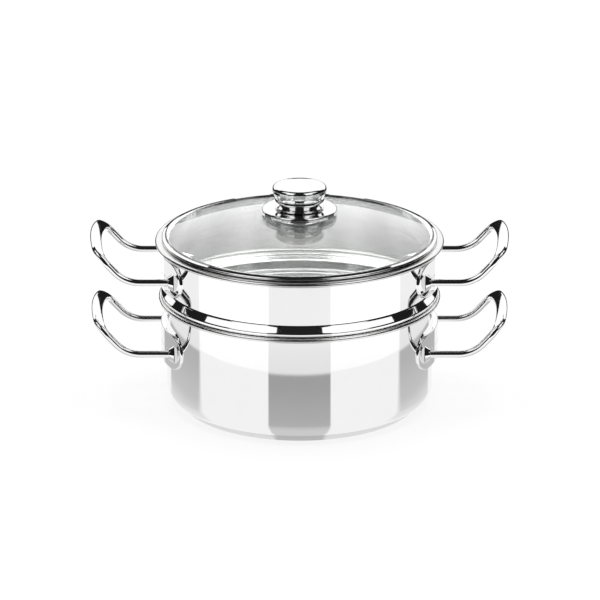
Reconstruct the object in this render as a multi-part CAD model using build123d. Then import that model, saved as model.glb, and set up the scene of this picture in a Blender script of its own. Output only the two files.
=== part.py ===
from build123d import *
import math
import os

os.makedirs("parts", exist_ok=True)

# Both vessels, radii and heights in millimetres, z = 0 on the table
sheet = 0.8                    # pressed steel of pot and steamer
wall_radius = 121.0            # outside of both straight walls
lip_corner = 2.5               # wall running out into the rim
cut_over = 2.0                 # overrun of every cut past the solid it goes through

# Pot
pot_height = 103.4
pot_rim_reach = 6.9            # rolled rim beyond the wall
pot_rim_depth = 4.4            # outer height of the rolled rim
pot_corner = 12.0              # rounding from floor to wall, outside
base_height = 6.2              # sandwich base under the pot floor
base_inset = 12.7              # its edge inside the wall
base_skin = 0.6
base_corner = 2.6
core_gap = 0.1

# Steamer, heights from the pot's rim
seat_gap = 0.3                 # air between pieces that only rest on each other
nest_inset = 3.5               # part that hangs inside the pot, in from the wall
nest_corner = 2.0
floor_drop = 13.8              # perforated floor below the pot's rim
floor_inset = 12.0             # its edge in from the wall
floor_corner = 4.0
ledge_drop = 8.0               # small inner step for a narrower pot
ledge_corner = 1.6
bead_reach = 4.7
bead_height = 3.2
bead_corner = 1.5
neck_in_height = 8.6           # top of the flare above the seat
neck_in_corner = 3.0
steamer_rise = 52.2            # top of its rim above the pot's rim
steamer_rim_reach = 9.5
steamer_rim_depth = 4.0

# Floor holes: groups of short arcs, one row inside the next
hole_radius = 2.5
hole_groups = 6
hole_rows = 4
outer_row_count = 5            # holes in the outermost row of a group
hole_ring_inset = 21.0         # outermost row in from the floor's edge
hole_row_step = 14.0
hole_pitch = 13.8
first_group_turn = 80.0        # degrees from +X

# Bent rod handles
rod_radius = 3.2
rod_half_gap = 48.0
pot_rod_drop = 42.4            # rods below the pot's rim
steamer_rod_rise = 25.6        # rods above the pot's rim
rod_end_gap = 1.8              # rod end off the wall, inside the boss
knee_reach = 35.2              # where the lines of rod and slope meet, out from the wall
knee_radius = 30.0
rod_slope = 47.5               # degrees
grip_reach = 27.6              # middle line of the grip, out from the knee
grip_corner = 16.0
grip_bow = 3.2                 # how far the grip bulges out between its corners
grip_width = 11.6
grip_thickness = 4.4
grip_tilt = 11.5               # degrees, grip lying flatter than the slope
flatten_turns = (72.0, 58.0, 44.0, 30.0)    # degrees round the corner, rod to grip
round_share = 0.01             # flat share of a section that is nearly a circle

# Pressed plates behind the rod ends
plate_length = 121.0
plate_height = 33.0
plate_lift = 1.2               # middle of the plate above the rods
plate_depth = 5.0              # middle of the plate out from the wall
plate_end_depth = 1.6          # its two ends out from the wall
plate_sheet = 1.4
plate_edge = 0.8
boss_radius = 4.9              # at the rod
boss_foot = 7.6                # at the plate
boss_depth = 3.5               # boss beyond the plate, along the rod
boss_edge = 0.8
weld_gap = 0.05

# Lid, radii from the steamer's rim and heights from its top
band_rest = 0.9                # middle of the flat part that lies on the rim
band_inset = 6.0
band_sheet = 0.6
band_lip = 3.6                 # lip over the glass, in from the band's outside
band_corner = 0.9
skirt_inset = 3.5              # skirt that centres the lid, in from the wall
skirt_height = 5.6
seam_width = 0.5
seam_turn = -31.0              # degrees, where the ends of the band meet
glass_inset = 1.9              # glass edge in from the band's outside
glass_edge_rise = 1.75         # top of the glass edge above the band's flat part
glass_dome = 21.95             # rise from the edge to the middle
glass_thickness = 4.0
glass_hole = 4.0
lid_gap = 0.1

# Knob stack, from below the glass up to the cap
seal_radius = 18.0
lower_seal = 1.2
upper_seal = 0.8
stack_hole = 2.7
hub_radius = 22.2
hub_height = 8.6
hub_sheet = 0.8
hub_corner = 1.6
dish_radius = 34.0
dish_sheet = 0.9
dish_flat_radius = 22.0
dish_sink_radius = 27.0
dish_sink = 0.9
dish_rim_height = 2.8          # rim above the flat middle of the dish
dish_corner = 2.0
neck_radius = 16.6
neck_height = 3.2
collar_radius = 22.2
collar_height = 1.3
knob_sheet = 1.0
bowl_foot_radius = 17.4
bowl_waist_radius = 22.4
bowl_waist_height = 5.9
knob_seam_radius = 24.0         # top of the bowl
knob_seam_height = 13.2
cap_radius = 24.6
cap_dome = 1.8                 # very flat dome, rise over the cap's whole radius
cap_edge = 3.0
cap_height = 20.6
seam_gap = 0.2
screw_radius = 2.5
screw_head_radius = 4.6
screw_head_height = 2.6
screw_reach = 6.0              # how far the screw enters the knob
nut_radius = 6.0
nut_height = 7.0


def ball_radius(rim, rise):
    """Radius of a ball whose cap has this rim radius and this rise."""
    return (rim ** 2 + rise ** 2) / (2 * rise)


# Places that follow from the sizes above
pot_rim_radius = wall_radius + pot_rim_reach
base_radius = wall_radius - base_inset
nest_radius = wall_radius - nest_inset
floor_radius = wall_radius - floor_inset
bead_radius = wall_radius + bead_reach
steamer_rim_radius = wall_radius + steamer_rim_reach
floor_top = pot_height - floor_drop
ledge_top = pot_height - ledge_drop
seat = pot_height + seat_gap + sheet / 2
steamer_height = pot_height + steamer_rise
plate_radius = wall_radius + plate_depth
rod_wall = math.sqrt(wall_radius ** 2 - rod_half_gap ** 2)
plate_bow = ball_radius(plate_length / 2, plate_radius
                        - math.sqrt((wall_radius + plate_end_depth) ** 2 - (plate_length / 2) ** 2))
plate_centre = plate_radius - plate_bow
rod_plate = plate_centre + math.sqrt(plate_bow ** 2 - rod_half_gap ** 2)
band_radius = steamer_rim_radius - band_inset
band_floor = steamer_height + band_rest
skirt_radius = wall_radius - skirt_inset
glass_radius = band_radius - glass_inset
glass_top = band_floor + glass_edge_rise + glass_dome
glass_sphere = ball_radius(glass_radius, glass_dome)
glass_under = glass_top - glass_thickness
hub_top = glass_under - lower_seal
dish_under = glass_top + upper_seal
neck_foot = dish_under + dish_sheet
collar_foot = neck_foot + neck_height
knob_foot = collar_foot + collar_height
cap_sphere = ball_radius(cap_radius, cap_dome)


def unit(a, b):
    dx, dz = b[0] - a[0], b[1] - a[1]
    size = math.hypot(dx, dz)
    return dx / size, dz / size


def shifted(points, shift):
    """The open outline moved sideways, to the left for a positive shift."""
    out = []
    for i, p in enumerate(points):
        ahead = unit(points[i], points[i + 1]) if i < len(points) - 1 else None
        back = unit(points[i - 1], points[i]) if i else None
        if ahead is None or back is None:
            d = ahead or back
            out.append((p[0] - d[1] * shift, p[1] + d[0] * shift))
            continue
        mid = (back[0] + ahead[0], back[1] + ahead[1])
        size = math.hypot(*mid)
        normal = (-mid[1] / size, mid[0] / size)
        reach = shift / (-back[1] * normal[0] + back[0] * normal[1])
        out.append((p[0] + normal[0] * reach, p[1] + normal[1] * reach))
    return out


def rounded(points, radii, shift):
    """Lines and arcs along a shifted outline, corner radii kept concentric."""
    line = shifted(points, shift)
    edges, start = [], line[0]
    for i in range(1, len(line) - 1):
        back, ahead = unit(line[i - 1], line[i]), unit(line[i], line[i + 1])
        turn = back[0] * ahead[1] - back[1] * ahead[0]
        angle = math.acos(back[0] * ahead[0] + back[1] * ahead[1])
        radius = radii[i - 1] - shift if turn > 0 else radii[i - 1] + shift
        cut = radius * math.tan(angle / 2)
        a = (line[i][0] - back[0] * cut, line[i][1] - back[1] * cut)
        b = (line[i][0] + ahead[0] * cut, line[i][1] + ahead[1] * cut)
        side = math.copysign(1, turn)
        centre = (a[0] - back[1] * radius * side, a[1] + back[0] * radius * side)
        to_corner = unit(centre, line[i])
        middle = (centre[0] + to_corner[0] * radius, centre[1] + to_corner[1] * radius)
        edges.append((start, a))
        edges.append((a, middle, b))
        start = b
    edges.append((start, line[-1]))
    return edges


def strip(points, radii, thickness):
    """Section of a bent sheet in the XZ plane: middle line, bend radii, thickness."""
    left = rounded(points, radii, thickness / 2)
    right = rounded(points, radii, -thickness / 2)
    ends = [(left[0][0], right[0][0]), (left[-1][-1], right[-1][-1])]
    drawn = []
    for edge in left + right + ends:
        place = [Vector(x, 0, z) for x, z in edge]
        drawn.append(Line(*place) if len(place) == 2 else ThreePointArc(*place))
    return make_face(Wire(drawn))


def turned(face):
    return revolve(face, Axis.Z, 360)


def upright(radius, low, high, x=0, y=0):
    return Pos(x, y, (low + high) / 2) * Cylinder(radius, high - low)


def rolled_rim(radius, top, depth):
    """Middle line of a rim rolled outwards and under, from the wall upwards."""
    out = radius - sheet / 2
    high, low = top - sheet / 2, top - depth + sheet / 2
    roll = (high - low) / 2
    inner = out - 2 * roll
    path = [(wall_radius - sheet / 2, high), (out, high), (out, low), (inner, low), (inner, low + roll + sheet)]
    return path, [lip_corner, roll * 0.999, roll * 0.999, roll * 0.999]


def pot_body():
    rim, bends = rolled_rim(pot_rim_radius, pot_height, pot_rim_depth)
    floor = base_height + sheet / 2
    path = [(0, floor), (wall_radius - sheet / 2, floor)] + rim
    return turned(strip(path, [pot_corner - sheet / 2] + bends, sheet))


def base_cap():
    wall = base_radius - base_skin / 2
    path = [(0, base_skin / 2), (wall, base_skin / 2), (wall, base_height)]
    return turned(strip(path, [base_corner - base_skin / 2], base_skin))


def base_core():
    radius = base_radius - base_skin - core_gap
    core = upright(radius, base_skin, base_height)
    return fillet(core.edges().group_by(Axis.Z)[0], base_corner - base_skin)


def floor_holes():
    places = []
    for group in range(hole_groups):
        middle = first_group_turn + group * 360 / hole_groups
        for row in range(hole_rows):
            ring = floor_radius - hole_ring_inset - row * hole_row_step
            count = outer_row_count - row
            pitch = math.degrees(hole_pitch / ring)
            for k in range(count):
                turn = math.radians(middle + (k - (count - 1) / 2) * pitch)
                places.append((ring * math.cos(turn), ring * math.sin(turn)))
    low, high = floor_top - sheet - cut_over, floor_top + cut_over
    return [upright(hole_radius, low, high, x, y) for x, y in places]


def steamer_body():
    rim, bends = rolled_rim(steamer_rim_radius, steamer_height, steamer_rim_depth)
    half = sheet / 2
    floor, ledge = floor_top - half, ledge_top - half
    path = [(0, floor), (floor_radius - half, floor), (floor_radius - half, ledge),
            (nest_radius - half, ledge), (nest_radius - half, seat), (bead_radius - half, seat),
            (bead_radius - half, seat + bead_height),
            (wall_radius - half, seat + neck_in_height)] + rim
    radii = [floor_corner, ledge_corner, nest_corner, ledge_corner, bead_corner, bead_corner,
             neck_in_corner] + bends
    return turned(strip(path, radii, sheet)) - floor_holes()


def wall_clear(low, high):
    """Everything inside the vessel wall, to be cut from what is fixed on it."""
    return upright(wall_radius + weld_gap, low - cut_over, high + cut_over)


def facing_out(x, y, height):
    """Plane across the rods, looking away from the vessel."""
    return Plane(origin=(x, y, height), x_dir=(0, 1, 0), z_dir=(1, 0, 0))


def handle_plate(height):
    middle = height + plate_lift
    low, high = middle - plate_height / 2, middle + plate_height / 2
    across = facing_out(0, 0, middle)
    reach = plate_radius + cut_over
    outline = extrude(across * SlotOverall(plate_length, plate_height), reach)
    skin = outline & upright(plate_bow, low - cut_over, high + cut_over, plate_centre)
    outer = skin.faces().filter_by(GeomType.CYLINDER).sort_by(SortBy.AREA)[-1]
    skin = fillet(outer.edges(), plate_edge)
    hollow = extrude(across * SlotOverall(plate_length - 2 * plate_sheet, plate_height - 2 * plate_sheet), reach)
    plate = skin - (hollow & upright(plate_bow - plate_sheet, low, high, plate_centre))
    foot = rod_wall - cut_over
    length = rod_plate + boss_depth - foot
    flare = (boss_foot - boss_radius) / boss_depth
    for y in (-rod_half_gap, rod_half_gap):
        boss = facing_out(foot + length / 2, y, height) * Cone(boss_radius + flare * length, boss_radius, length)
        plate = plate + fillet(boss.edges().sort_by(Axis.X)[-1], boss_edge)
    plate = plate - wall_clear(low, high)
    for y in (-rod_half_gap, rod_half_gap):
        plate = plate - extrude(facing_out(0, y, height) * Circle(rod_radius + weld_gap), reach)
    return plate.solids().sort_by(Axis.X)[-1]


def handle_loop(height):
    slope = math.radians(rod_slope)
    rise = Vector(math.cos(slope), 0, math.sin(slope))
    upward = Vector(-math.sin(slope), 0, math.cos(slope))
    side = Vector(0, 1, 0)
    knee = Vector(wall_radius + knee_reach, 0, height)
    knee_cut = knee_radius * math.tan(slope / 2)
    reach = grip_reach / math.cos(slope)
    flat_half = rod_half_gap - grip_corner
    grip_arc = ball_radius(flat_half, grip_bow)
    arc_centre = reach - grip_arc
    corner_centre = arc_centre + math.sqrt((grip_arc - grip_corner) ** 2 - flat_half ** 2)
    tangent = math.asin(flat_half / (grip_arc - grip_corner))

    def on_slope(s, y):
        return knee + rise * s + side * y

    def corner(angle):
        return on_slope(corner_centre + grip_corner * math.cos(angle),
                        flat_half + grip_corner * math.sin(angle))

    def section(angle, share):
        """The rod's section round the corner, flattened by this share into the grip's."""
        tilt = math.radians(grip_tilt) * share
        out = rise * math.cos(angle) + side * math.sin(angle)
        along = rise * math.sin(angle) - side * math.cos(angle)
        round_width = 2 * rod_radius
        width = round_width * (1 + round_share) + (grip_width - round_width) * share
        thickness = round_width + (grip_thickness - round_width) * share
        across = out * math.cos(tilt) - upward * math.sin(tilt)
        return Plane(origin=corner(angle), x_dir=across, z_dir=along) * SlotOverall(width, thickness)

    turns = [math.radians(turn) for turn in flatten_turns]
    start = Vector(rod_wall + rod_end_gap, rod_half_gap, height)
    knee_in = knee + Vector(-knee_cut, rod_half_gap, 0)
    knee_out = on_slope(knee_cut, rod_half_gap)
    bend, last = corner(math.pi / 2), corner(turns[0])
    leg = Wire([Line(start, knee_in), TangentArc(knee_in, knee_out, tangent=(1, 0, 0)), Line(knee_out, bend),
                ThreePointArc(bend, corner((math.pi / 2 + turns[0]) / 2), last)])
    rod = sweep(Plane(origin=start, z_dir=(1, 0, 0)) * Circle(rod_radius), leg)
    steps = len(turns) - 1
    taper = loft([section(turn, k / steps) for k, turn in enumerate(turns)])

    flat_start, round_end = corner(turns[-1]), corner(tangent)
    far_end, far_start = (Vector(p.X, -p.Y, p.Z) for p in (round_end, flat_start))
    near_middle = corner((turns[-1] + tangent) / 2)
    far_middle = Vector(near_middle.X, -near_middle.Y, near_middle.Z)
    grip_path = Wire([ThreePointArc(flat_start, near_middle, round_end),
                      ThreePointArc(round_end, on_slope(reach, 0), far_end),
                      ThreePointArc(far_end, far_middle, far_start)])
    grip = sweep(section(turns[-1], 1), grip_path)
    other = [mirror(piece, Plane.XZ) for piece in (rod, taper)]
    return rod + taper + grip + other[0] + other[1]


def both_sides(shape, name):
    export_step(shape, "parts/" + name + "_right.step")
    export_step(Rot(0, 0, 180) * shape, "parts/" + name + "_left.step")


def glass_ball(radius):
    return Pos(0, 0, glass_top - glass_sphere) * Sphere(radius)


def lid_glass():
    low, high = band_floor + band_sheet / 2 + lid_gap, glass_top + cut_over
    disc = upright(glass_radius, low, high) & glass_ball(glass_sphere)
    return disc - glass_ball(glass_sphere - glass_thickness) - upright(glass_hole, low, high)


def glass_height(radius):
    return glass_top - glass_sphere + math.sqrt(glass_sphere ** 2 - radius ** 2)


def lid_band():
    half = band_sheet / 2
    out = band_radius - half
    lift = half + lid_gap
    inner = band_radius - band_lip
    lip = (inner, glass_height(inner) + lift * 1.2)
    shoulder = (out, glass_height(out) + lift * 1.2)
    path = [lip, shoulder, (out, band_floor), (skirt_radius - half, band_floor),
            (skirt_radius - half, band_floor - skirt_height)]
    band = turned(strip(path, [band_corner, band_corner, band_corner], band_sheet))
    seam = Box(2 * band_lip + cut_over, seam_width, glass_dome)
    place = Pos(band_radius, 0, band_floor + half + glass_dome / 2)
    return band - Rot(0, 0, seam_turn) * place * seam


def ring(outer, inner, low, high):
    return upright(outer, low, high) - upright(inner, low - cut_over, high + cut_over)


def lower_seal_ring():
    block = ring(seal_radius, stack_hole, hub_top, glass_top)
    return block & glass_ball(glass_sphere - glass_thickness - lid_gap)


def upper_seal_ring():
    return ring(seal_radius, stack_hole, glass_under, dish_under) - glass_ball(glass_sphere + lid_gap)


def lid_hub():
    half = hub_sheet / 2
    path = [(stack_hole, hub_top - half), (hub_radius - half, hub_top - half), (hub_radius - half, hub_top - hub_height)]
    return turned(strip(path, [hub_corner], hub_sheet))


def knob_dish():
    half = dish_sheet / 2
    flat = dish_under + half
    path = [(stack_hole, flat), (dish_flat_radius, flat), (dish_sink_radius, flat - dish_sink),
            (dish_radius - half, flat - dish_sink), (dish_radius - half, flat + dish_rim_height)]
    return turned(strip(path, [dish_corner, dish_corner, dish_corner], dish_sheet))


def knob_neck():
    return ring(neck_radius, stack_hole, neck_foot, collar_foot)


def knob_collar():
    disc = ring(collar_radius, stack_hole, collar_foot, knob_foot)
    rim = disc.edges().filter_by(GeomType.CIRCLE).sort_by(SortBy.LENGTH)[-2:]
    return fillet(rim, collar_height / 3)


def at(radius, height):
    return Vector(radius, 0, knob_foot + height)


def knob_bowl():
    def side(inset, foot):
        low = at(bowl_foot_radius - inset, foot)
        waist = at(bowl_waist_radius - inset, bowl_waist_height)
        top = at(knob_seam_radius - inset, knob_seam_height)
        return Spline(low, waist, top, tangents=[(1, 0, 1), (0.1, 0, 1)]), low, top

    outer, low, high = side(0, 0)
    inner, inner_low, inner_high = side(knob_sheet, knob_sheet)
    bore_low, bore_high = at(stack_hole, 0), at(stack_hole, knob_sheet)
    shell = turned(make_face(Wire([outer, Line(high, inner_high), inner, Line(inner_low, bore_high),
                                   Line(bore_high, bore_low), Line(bore_low, low)])))
    nut = ring(nut_radius, screw_radius, knob_foot + knob_sheet, knob_foot + knob_sheet + nut_height)
    return shell + nut


def cap_block(inset):
    foot = knob_foot + knob_seam_height + seam_gap
    peak = knob_foot + cap_height - inset
    block = upright(cap_radius - inset, foot, peak) & Pos(0, 0, peak - cap_sphere) * Sphere(cap_sphere)
    rim = block.edges().filter_by(GeomType.CIRCLE).sort_by(SortBy.LENGTH)[-1]
    return fillet(rim, cap_edge - inset)


def knob_cap():
    return cap_block(0) - cap_block(knob_sheet)


def knob_screw():
    seat = hub_top - hub_sheet
    shank = upright(screw_radius - weld_gap, seat, knob_foot + screw_reach)
    head = upright(screw_head_radius, seat - screw_head_height, seat)
    head = fillet(head.edges().sort_by(Axis.Z)[0], screw_head_height / 3)
    return shank + head


export_step(pot_body(), "parts/pot_body.step")
export_step(base_core(), "parts/pot_base_core.step")
export_step(base_cap(), "parts/pot_base_cap.step")
export_step(steamer_body(), "parts/steamer_body.step")
for vessel, rods in (("pot", pot_height - pot_rod_drop), ("steamer", pot_height + steamer_rod_rise)):
    both_sides(handle_plate(rods), vessel + "_handle_plate")
    both_sides(handle_loop(rods), vessel + "_handle")
export_step(lid_glass(), "parts/lid_glass.step")
export_step(lid_band(), "parts/lid_band.step")
export_step(lid_hub(), "parts/lid_hub.step")
export_step(lower_seal_ring(), "parts/lid_seal_lower.step")
export_step(upper_seal_ring(), "parts/lid_seal_upper.step")
export_step(knob_dish(), "parts/knob_dish.step")
export_step(knob_neck(), "parts/knob_neck.step")
export_step(knob_collar(), "parts/knob_collar.step")
export_step(knob_bowl(), "parts/knob_bowl.step")
export_step(knob_cap(), "parts/knob_cap.step")
export_step(knob_screw(), "parts/knob_screw.step")
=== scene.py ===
"""Steamer pot: mirror steel, glass lid and turned knob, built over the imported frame."""

import math

import bmesh
import bpy
from bpy.props import FloatProperty, FloatVectorProperty, IntProperty, PointerProperty
from mathutils import Matrix, Vector


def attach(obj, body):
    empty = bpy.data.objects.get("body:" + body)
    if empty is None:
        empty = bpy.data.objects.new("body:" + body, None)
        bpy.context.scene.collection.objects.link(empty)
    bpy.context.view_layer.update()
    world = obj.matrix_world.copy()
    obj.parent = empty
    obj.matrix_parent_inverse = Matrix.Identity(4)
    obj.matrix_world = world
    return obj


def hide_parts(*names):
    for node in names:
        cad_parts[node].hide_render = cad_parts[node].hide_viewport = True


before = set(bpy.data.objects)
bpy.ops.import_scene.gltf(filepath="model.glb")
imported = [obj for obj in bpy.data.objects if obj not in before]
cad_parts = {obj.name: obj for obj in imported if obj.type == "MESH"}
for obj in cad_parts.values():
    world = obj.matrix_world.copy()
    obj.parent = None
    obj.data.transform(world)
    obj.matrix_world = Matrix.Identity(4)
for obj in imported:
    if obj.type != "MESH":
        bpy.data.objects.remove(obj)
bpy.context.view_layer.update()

bl_info = {
    "name": "Steamer pot",
    "version": (1, 0, 0),
    "blender": (4, 5, 0),
    "location": "View3D > Sidebar > Steamer pot",
    "description": "Builds a two-tier steamer with a glass lid, its finishes and its studio",
    "category": "Add Mesh",
}

MM = 0.001
FULL = 2 * math.pi
FLAT_VESSEL = 0.25 * MM  # extra points this near to the ends of long straight lines of a section
FLAT_KNOB = 0.15 * MM
FLAT_SOLID = 0.1 * MM
WELD = 0.001 * MM  # points nearer than this are one


# ---------------------------------------------------------------- sizes and colours
# lengths are given in millimetres and angles in degrees; the panel labels each by its own name

def length(text, millimetres):
    return FloatProperty(description=text, default=millimetres * MM, min=0.0, unit="LENGTH",
                         subtype="DISTANCE")


def degrees(text, value):
    return FloatProperty(description=text, default=math.radians(value), subtype="ANGLE")


def power(text, value):
    return FloatProperty(description=text, default=value, min=0.0)


def number(text, value, least=1, most=12):
    return IntProperty(description=text, default=value, min=least, max=most)


def share(text, value):
    return FloatProperty(description=text, default=value, min=0.0, max=1.0, subtype="FACTOR")


def tint(text, value):
    return FloatVectorProperty(description=text, default=value, min=0.0, max=1.0, size=3, subtype="COLOR")


class VesselSizes(bpy.types.PropertyGroup):
    wall: length("Outside of both straight walls", 121.0)
    sheet: length("Thickness of the pressed steel", 0.8)
    lip: length("Bend where a wall runs out into its rim", 2.5)
    pot_height: length("Top of the pot's rim above the table", 103.4)
    pot_rim: length("Reach of the pot's rolled rim beyond the wall", 6.9)
    pot_rim_depth: length("Outer height of the pot's rolled rim", 4.4)
    pot_corner: length("Rounding from the pot's floor to its wall", 12.0)
    base_height: length("Thickness of the sandwich base", 6.2)
    base_inset: length("Edge of the base in from the wall", 12.7)
    base_skin: length("Thickness of the capsule's sheet", 0.6)
    base_corner: length("Rounding of the base's lower edge", 2.6)
    seat_gap: length("Air between pieces that rest on each other", 0.3)
    nest_inset: length("Part of the steamer inside the pot, in from the wall", 3.5)
    floor_drop: length("Perforated floor below the pot's rim", 13.8)
    floor_inset: length("Edge of the perforated floor in from the wall", 12.0)
    ledge_drop: length("Inner step below the pot's rim", 8.0)
    bead: length("Bead above the seat, beyond the wall", 4.7)
    bead_height: length("Height of the bead's straight side", 3.2)
    neck_in: length("Top of the flare above the seat", 8.6)
    steamer_rise: length("Steamer rim above the pot's rim", 52.2)
    steamer_rim: length("Reach of the steamer's rolled rim beyond the wall", 9.5)
    steamer_rim_depth: length("Outer height of the steamer's rolled rim", 4.0)
    hole: length("Radius of each hole in the steamer's floor", 2.5)
    hole_inset: length("Outermost row in from the floor's edge", 21.0)
    hole_row: length("Distance from one row of holes to the next", 14.0)
    hole_pitch: length("Distance between holes along a row", 13.8)
    hole_groups: number("Groups of holes round the floor", 6)
    hole_rows: number("Rows of a group, each one hole shorter than the row outside it", 4)
    hole_turn: degrees("Middle of the first group of holes, from +X", 80.0)
    floor_bend: length("Bend where the steamer's floor turns up", 4.0)
    step_bend: length("Bend at the inner edge of the ledge", 1.6)
    ledge_bend: length("Bend where the ledge turns up", 2.0)
    seat_bend: length("Bend where the steamer runs out over the pot's rim", 1.6)
    bead_bend: length("Bends of the bead above the seat", 1.5)
    neck_bend: length("Bend where the flare meets the steamer's wall", 3.0)
    hole_steps: number("Steps of a full turn of a hole", 28, 12, 96)
    steps: number("Steps of a full turn of the vessels", 288, 48, 480)


class HandleSizes(bpy.types.PropertyGroup):
    rod: length("Radius of the bent rod", 3.2)
    half_gap: length("Half the distance between the two rod ends", 48.0)
    pot_drop: length("Rods below the pot's rim", 42.4)
    steamer_rise: length("Rods above the pot's rim", 25.6)
    end_gap: length("Rod end off the wall, inside the boss", 1.8)
    knee: length("Where the lines of rod and slope meet, out from the wall", 35.2)
    knee_bend: length("Bend radius where the rods turn upwards", 30.0)
    slope: degrees("Rise of the loop above the level", 47.5)
    grip: length("Middle line of the grip, out from the knee", 27.6)
    grip_corner: length("Bend radius between a rod and the grip", 16.0)
    grip_bow: length("How far the grip bulges out between its corners", 3.2)
    grip_width: length("Width of the flattened grip", 11.6)
    grip_thickness: length("Thickness of the flattened grip", 4.4)
    tilt: degrees("How much flatter than the slope the grip lies", 11.5)
    round_to: degrees("Turn round the corner where the rod starts to flatten", 72.0)
    flat_from: degrees("Turn round the corner where the grip is flat", 30.0)


class PlateSizes(bpy.types.PropertyGroup):
    length: length("Length of the pressed plate across the wall", 121.0)
    height: length("Height of the pressed plate", 33.0)
    lift: length("Middle of the plate above the rods", 1.2)
    depth: length("Middle of the plate out from the wall", 5.0)
    end_depth: length("Ends of the plate out from the wall", 1.6)
    sheet: length("Thickness of the plate", 1.4)
    edge: length("Rounding of the plate's edge", 0.8)
    boss: length("Radius of the boss at its outer end", 4.9)
    boss_foot: length("Radius of the boss at the plate", 7.6)
    boss_depth: length("Boss beyond the plate, along the rod", 3.5)
    boss_edge: length("Rounding of the boss's outer edge", 0.8)
    wall_air: length("Air between the plate's edge and the wall", 0.06)
    rod_air: length("Air between a rod and its boss", 0.05)
    boss_steps: number("Steps of a full turn of a boss", 48, 12, 480)


class LidSizes(bpy.types.PropertyGroup):
    rest: length("Middle of the band's flat part above the steamer's rim", 0.9)
    inset: length("Band's outside in from the steamer's rim", 6.0)
    sheet: length("Thickness of the band", 0.6)
    lip: length("Lip over the glass, in from the band's outside", 3.0)
    corner: length("Bend radius of the band", 0.9)
    skirt_inset: length("Skirt that centres the lid, in from the wall", 3.5)
    skirt: length("Depth of the skirt below the rim", 5.6)
    seam: length("Gap between the two ends of the band", 0.5)
    seam_turn: degrees("Where the ends of the band meet, from +X", -31.0)
    glass_inset: length("Glass edge in from the band's outside", 1.9)
    glass_foot: length("Underside of the glass ends this far in from its edge", 1.7)
    edge_rise: length("Top of the glass edge above the band's flat part", 1.75)
    dome: length("Rise of the glass from its edge to the middle", 21.95)
    glass: length("Thickness of the glass", 4.0)
    glass_hole: length("Radius of the hole for the knob's screw", 4.0)
    glass_edge: length("Rounding of the glass's upper edge", 0.6)
    gap: length("Air between glass and steel", 0.1)
    dome_steps: number("Steps from the glass's hole to its edge", 28, 8, 96)


class KnobSizes(bpy.types.PropertyGroup):
    lower_seal: length("Thickness of the washer under the glass", 1.2)
    upper_seal: length("Thickness of the washer on the glass", 0.8)
    stack_hole: length("Radius of the hole through the stack", 2.7)
    hub: length("Cup under the glass", 22.2)
    hub_height: length("Height of the cup under the glass", 8.6)
    hub_sheet: length("Thickness of the cup", 0.8)
    hub_corner: length("Bend radius of the cup", 1.6)
    dish: length("Saucer on the glass", 34.0)
    dish_sheet: length("Thickness of the saucer", 0.9)
    dish_seat: length("Radius of the saucer's middle, which lies on the glass", 16.8)
    dish_step: length("Where the saucer has risen to its brim", 20.5)
    dish_sink: length("Edge of the saucer below its middle", 0.9)
    dish_rim: length("Brim above the saucer's middle", 2.8)
    dish_edge: length("Bend radius of the saucer's turned-down edge", 1.2)
    dish_corner: length("Bend radius of the saucer", 2.0)
    neck: length("Neck between saucer and collar", 16.6)
    neck_height: length("Height of the neck", 3.2)
    collar: length("Thin collar under the knob", 22.2)
    collar_height: length("Thickness of the collar", 1.3)
    foot: length("Radius of the knob's foot", 17.4)
    waist: length("Radius of the upright part of the bowl", 22.5)
    waist_low: length("Where the bowl turns upright, above its foot", 4.9)
    waist_top: length("Where the bowl starts to flare, above its foot", 8.6)
    seam: length("Top of the knob's bowl, at the seam between its halves", 24.0)
    seam_height: length("Seam above the knob's foot", 13.2)
    seam_gap: length("Fine gap between the knob's halves", 0.2)
    cap: length("Widest radius of the knob", 24.6)
    cap_foot: length("Lower edge of the knob's cap, at the seam", 24.1)
    cap_edge: length("Rounding of the knob's top edge", 3.0)
    cap_dome: length("Rise of the flat dome on top", 1.8)
    cap_height: length("Top of the knob above its foot", 20.6)
    wall: length("Thickness of the knob's sheet", 1.0)
    neck_edge: length("Rounding of the neck's edges", 0.2)
    foot_edge: length("Rounding of the bowl's foot", 0.3)
    foot_bend: length("Bend from the bowl's flare to its waist, outside", 2.2)
    foot_bend_inside: length("The same bend, inside", 1.8)
    waist_bend: length("Bend from the waist to the seam", 5.0)
    seam_edge: length("Rounding of the edges at the seam", 0.15)
    steps: number("Steps of a full turn of the knob", 160, 48, 480)
    hub_steps: number("Steps of a full turn of the cup", 128, 48, 480)


class Finishes(bpy.types.PropertyGroup):
    mirror: tint("Polished stainless steel", (0.95, 0.95, 0.95))
    satin: tint("Steel inside the vessels", (0.93, 0.93, 0.925))
    # painted shade: the inside of the steamer's floor and stepped bottom is given a far darker steel than its walls
    nest: tint("Steel of the steamer's stepped floor", (0.42, 0.42, 0.42))
    base: tint("Turned steel of the base", (0.80, 0.80, 0.80))
    core: tint("Aluminium disc inside the base", (0.75, 0.76, 0.77))
    glass: tint("Clear toughened glass", (0.985, 0.995, 0.99))
    washer: tint("Translucent silicone", (0.80, 0.80, 0.78))
    screw: tint("Plain steel", (0.62, 0.62, 0.62))
    polish: share("Roughness of the mirror steel", 0.035)
    ripple: share("Strength of the faint unevenness of pressed sheet", 0.10)


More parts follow.
